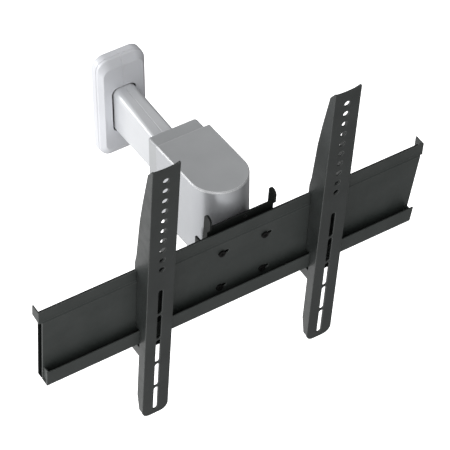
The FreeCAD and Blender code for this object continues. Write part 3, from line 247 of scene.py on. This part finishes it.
FINISH = {
    "wall_plate": zinc, "hinge_lugs": zinc, "cover_clips": zinc,
    "hinge_pin": zinc, "hinge_nut": zinc, "hinge_washers": zinc,
    "wall_cover_left": cover_silver, "wall_cover_right": cover_silver,
    "arm_beam": frame_black, "arm_bushes": black_nylon, "arm_spacers": black_nylon,
    "arm_shell_left": shell_silver, "arm_shell_right": shell_silver, "arm_collar": collar_grey,
    "housing_shell": housing_silver, "housing_top_cap": cap_silver,
    "housing_base_cover": collar_grey, "base_screws": zinc, "swivel_bushes": black_nylon,
    "swivel_shaft": zinc, "swivel_disc_springs": zinc, "swivel_nut": zinc, "yoke_screws": zinc,
    "swivel_yoke": frame_black, "tilt_pivot_bolts": bolt_black, "tilt_lock_bolts": bolt_black,
    "tilt_friction_washers": black_nylon, "tilt_pivot_nuts": zinc, "tilt_lock_nuts": zinc,
    "tilt_bracket": frame_black, "rail_face": rail_black, "rail_back": frame_black,
    "rail_bolts": bolt_black, "rail_nuts": zinc, "rail_spacers": zinc,
    "upright_left": upright_black, "upright_right": upright_black,
    "lock_plate_left": frame_black, "lock_plate_right": frame_black,
    "lock_screw_left": bolt_black, "lock_screw_right": bolt_black,
}
for name, material in FINISH.items():
    thing = nodes[name]
    thing.data.materials.clear()
    thing.data.materials.append(material)


# ------------------------------------------------------------------------- camera, stage and light

camera_data = bpy.data.cameras.new("camera")
camera = bpy.data.objects.new("camera", camera_data)
bpy.context.collection.objects.link(camera)
camera_data.sensor_width = SENSOR_MM
camera_data.lens = LENS_MM
camera_data.clip_end = CAMERA_REACH
camera.location = CAMERA_PLACE
camera.rotation_euler = (math.radians(90.0 - CAMERA_DOWN), 0.0, math.radians(CAMERA_TURN))
bpy.context.scene.camera = camera


def area_light(name, place_at, aim_at, size, power):
    """A white rectangular light, size wide and high, turned towards aim_at."""
    data = bpy.data.lights.new(name, "AREA")
    data.shape = "RECTANGLE"
    data.size, data.size_y = size
    data.energy = power
    light = bpy.data.objects.new(name, data)
    bpy.context.collection.objects.link(light)
    light.location = place_at
    light.rotation_euler = (Vector(aim_at) - Vector(place_at)).to_track_quat("-Z", "Y").to_euler()


area_light("front_light", (-1.9, -2.3, 2.1), (0.0, -0.3, 0.0), (1.6, 0.25), 13.0)
area_light("side_light", (-0.6, -0.30, -0.16), (0.0, -0.1, -0.06), (0.3, 0.1), 0.15)
area_light("edge_light", (-2.0, 1.5, 1.1), (0.0, -0.25, 0.0), (0.7, 0.7), 12.0)

# A wide white floor with its own glow, hidden from diffuse and glossy rays so that it neither
# lights the mount nor shows in it.
floor_mesh = bpy.data.meshes.new("floor")
floor_corners = [(-FLOOR_HALF, -FLOOR_HALF, 0), (FLOOR_HALF, -FLOOR_HALF, 0),
                 (FLOOR_HALF, FLOOR_HALF, 0), (-FLOOR_HALF, FLOOR_HALF, 0)]
floor_mesh.from_pydata(floor_corners, [], [(0, 1, 2, 3)])
floor = bpy.data.objects.new("floor", floor_mesh)
floor.location = (0.0, 0.0, FLOOR_HEIGHT)
bpy.context.collection.objects.link(floor)
floor_white, floor_shader = new_material("floor_white")
floor_tone = ramp(floor_white, noise(floor_white, 3.0),
                  [(0.3, (0.93, 0.93, 0.93)), (0.7, (0.96, 0.96, 0.96))])
link(floor_white, floor_tone, floor_shader, "Base Color")
floor_shader.inputs["Roughness"].default_value = 0.9
floor_shader.inputs["Emission Color"].default_value = (1.0, 1.0, 1.0, 1.0)
floor_shader.inputs["Emission Strength"].default_value = 1.0
floor_mesh.materials.append(floor_white)
floor.visible_diffuse = False
floor.visible_glossy = False

# The studio is brighter on the left (-X) than on the right, with a dimmer ceiling; the
# backdrop itself is white.
world = bpy.data.worlds.new("studio")
bpy.context.scene.world = world
world.use_nodes = True


def world_node(kind, inputs=None, **settings):
    """Add one node to the world, with values or links for its inputs."""
    item = world.node_tree.nodes.new(kind)
    for name, value in settings.items():
        setattr(item, name, value)
    for name, value in (inputs or {}).items():
        if isinstance(value, bpy.types.NodeSocket):
            world.node_tree.links.new(value, item.inputs[name])
        else:
            item.inputs[name].default_value = value
    return item


def world_ramp(value, stops):
    """A brightness against one component of a direction, which runs from -1 to 1."""
    share = world_node("ShaderNodeMapRange", {"Value": value, "From Min": -1.0,
                                              "From Max": 1.0}).outputs[0]
    made = world_node("ShaderNodeValToRGB", {"Fac": share})
    made.color_ramp.interpolation = "EASE"
    elements = made.color_ramp.elements
    while len(elements) < len(stops):
        elements.new(0.5)
    for element, (position, level) in zip(elements, stops):
        element.position = position
        element.color = (level, level, level, 1.0)
    return made.outputs["Color"]


direction = world_node("ShaderNodeTexCoord").outputs["Generated"]
parts = world_node("ShaderNodeSeparateXYZ", {"Vector": direction})
sideways = world_ramp(parts.outputs["X"], SKY_SIDEWAYS)
upwards = world_ramp(parts.outputs["Z"], SKY_UPWARDS)
sky = world_node("ShaderNodeVectorMath", {0: sideways, 1: upwards}, operation="MULTIPLY")
seen = world_node("ShaderNodeLightPath").outputs["Is Camera Ray"]
backdrop = world_node("ShaderNodeVectorMath", {0: sky.outputs[0], 1: seen}, operation="MAXIMUM")
background = world.node_tree.nodes["Background"]
world.node_tree.links.new(backdrop.outputs[0], background.inputs["Color"])
background.inputs["Strength"].default_value = SKY_STRENGTH
bpy.context.scene.view_settings.view_transform = "Standard"
